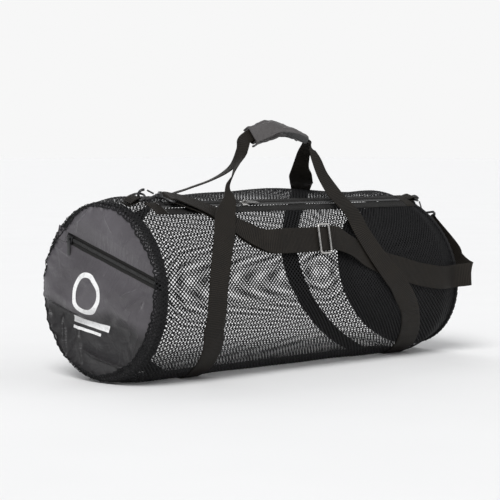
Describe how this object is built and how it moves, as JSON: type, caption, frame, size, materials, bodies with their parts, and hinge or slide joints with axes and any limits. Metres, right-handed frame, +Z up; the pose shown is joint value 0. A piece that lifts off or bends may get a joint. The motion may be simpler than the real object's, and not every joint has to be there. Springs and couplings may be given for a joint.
{
  "type": "mesh ball bag",
  "caption": "Long round mesh sports bag with a zipped opening, a zipped end pocket, two webbing handles joined by a wrap grip, and a clip-on shoulder strap.",
  "frame": {"origin": "on the floor under the middle of the bag's bounding box", "axes": "+X along the bag from the pocket end to the far end, +Y from the front to the back, +Z up"},
  "size_m": [0.794, 0.324, 0.4417],
  "materials": {
    "mesh": "black open mesh knit, matt",
    "nylon": "dark grey coated nylon, soft sheen, wrinkled",
    "binding": "black seam tape, matt",
    "webbing": "black ribbed polypropylene webbing, slight sheen",
    "zip_tape": "black woven zip tape",
    "zip_coil": "black coil teeth, satin",
    "nickel": "bright nickel plate, lightly scuffed",
    "black_metal": "black enamel, glossy",
    "velcro": "black hook-and-loop tape"
  },
  "bodies": {
    "bag": {"mesh_body": "mesh", "far_end_panel": "nylon", "pocket_back_panel": "nylon", "pocket_front_lower": "nylon", "pocket_front_upper": "nylon", "pocket_end_binding": "binding", "far_end_binding": "binding", "main_zip_tape_rear": "zip_tape", "main_zip_tape_front": "zip_tape", "main_zip_chain": "zip_coil", "main_zip_end_patch_left": "webbing", "main_zip_end_patch_right": "webbing", "pocket_zip_tape_upper": "zip_tape", "pocket_zip_tape_lower": "zip_tape", "pocket_zip_chain": "zip_coil", "pocket_zip_end_patch": "nylon", "front_left_band": "webbing", "front_right_band": "webbing", "rear_left_band": "webbing", "rear_right_band": "webbing", "left_ring_tab": "webbing", "right_ring_tab": "webbing", "left_hook_eye": "black_metal", "right_hook_eye": "black_metal", "shoulder_strap": "webbing"},
    "main_slider": {"main_zip_slider": "nickel"},
    "main_pull": {"main_zip_pull": "nickel"},
    "pocket_slider": {"pocket_zip_slider": "black_metal"},
    "pocket_pull": {"pocket_zip_pull": "black_metal"},
    "front_handle": {"front_handle": "webbing"},
    "rear_handle": {"rear_handle": "webbing", "grip_sleeve": "nylon", "grip_loop_strip": "velcro"},
    "grip_flap": {"grip_flap": "nylon", "grip_hook_strip": "velcro"},
    "left_ring": {"left_d_ring": "black_metal"},
    "right_ring": {"right_d_ring": "black_metal"},
    "left_hook": {"left_hook_body": "black_metal"},
    "right_hook": {"right_hook_body": "black_metal"},
    "left_gate": {"left_hook_gate": "black_metal"},
    "right_gate": {"right_hook_gate": "black_metal"},
    "strap_adjuster": {"strap_adjuster": "nickel"}
  },
  "joints": [
    {"name": "main_zip_slide", "type": "slide", "parent": "bag", "child": "main_slider", "axis": [1, 0, 0], "range_m": [-0.015, 0.385]},
    {"name": "main_pull_flip", "type": "hinge", "parent": "main_slider", "child": "main_pull", "pos_m": [-0.13061, -0.06878, 0.29457], "axis": [0, -0.891, -0.454], "range_deg": [0, 160]},
    {"name": "pocket_zip_slide", "type": "slide", "parent": "bag", "child": "pocket_slider", "axis": [0, -0.9563, -0.2924], "range_m": [0, 0.205]},
    {"name": "pocket_pull_swing", "type": "hinge", "parent": "pocket_slider", "child": "pocket_pull", "pos_m": [-0.38881, 0.07752, 0.2339], "axis": [1, 0, 0], "range_deg": [-100, 100]},
    {"name": "front_handle_swing", "type": "hinge", "parent": "bag", "child": "front_handle", "pos_m": [-0.00261, -0.14143, 0.0953], "axis": [1, 0, 0], "range_deg": [0, 115]},
    {"name": "rear_handle_swing", "type": "hinge", "parent": "bag", "child": "rear_handle", "pos_m": [-0.00261, 0.14702, 0.21478], "axis": [-1, 0, 0], "range_deg": [0, 150]},
    {"name": "grip_flap_open", "type": "hinge", "parent": "rear_handle", "child": "grip_flap", "pos_m": [-0.00261, -0.01512, 0.424], "axis": [-1, 0, 0], "range_deg": [0, 110], "deforming": ["grip_flap", "grip_hook_strip"]},
    {"name": "left_ring_swing", "type": "hinge", "parent": "bag", "child": "left_ring", "pos_m": [-0.35361, -0.04204, 0.30347], "axis": [0, -0.9563, -0.2924], "range_deg": [-10, 8]},
    {"name": "left_hook_swivel", "type": "hinge", "parent": "bag", "child": "left_hook", "pos_m": [-0.33888, -0.04387, 0.30944], "axis": [0.9557, -0.2692, -0.1188], "range_deg": [-20, 20]},
    {"name": "left_gate_press", "type": "hinge", "parent": "left_hook", "child": "left_gate", "pos_m": [-0.32108, -0.04984, 0.3105], "axis": [-0.292, -0.9177, -0.2694], "range_deg": [0, 20], "stiffness_Nm_per_rad": 0.04, "springref_deg": -28.65},
    {"name": "right_ring_swing", "type": "hinge", "parent": "bag", "child": "right_ring", "pos_m": [0.34578, -0.03863, 0.2923], "axis": [0, -0.9563, -0.2924], "range_deg": [-8, 0]},
    {"name": "right_hook_swivel", "type": "hinge", "parent": "bag", "child": "right_hook", "pos_m": [0.36061, -0.03687, 0.28657], "axis": [0.1599, -0.5196, -0.8393], "range_deg": [-14, 8]},
    {"name": "right_gate_press", "type": "hinge", "parent": "right_hook", "child": "right_gate", "pos_m": [0.36687, -0.04672, 0.27182], "axis": [-0.1771, -0.8516, 0.4934], "range_deg": [0, 20], "stiffness_Nm_per_rad": 0.04, "springref_deg": -28.65},
    {"name": "adjuster_slide", "type": "slide", "parent": "bag", "child": "strap_adjuster", "axis": [1, 0, 0], "range_m": [-0.055, 0.018]}
  ]
}
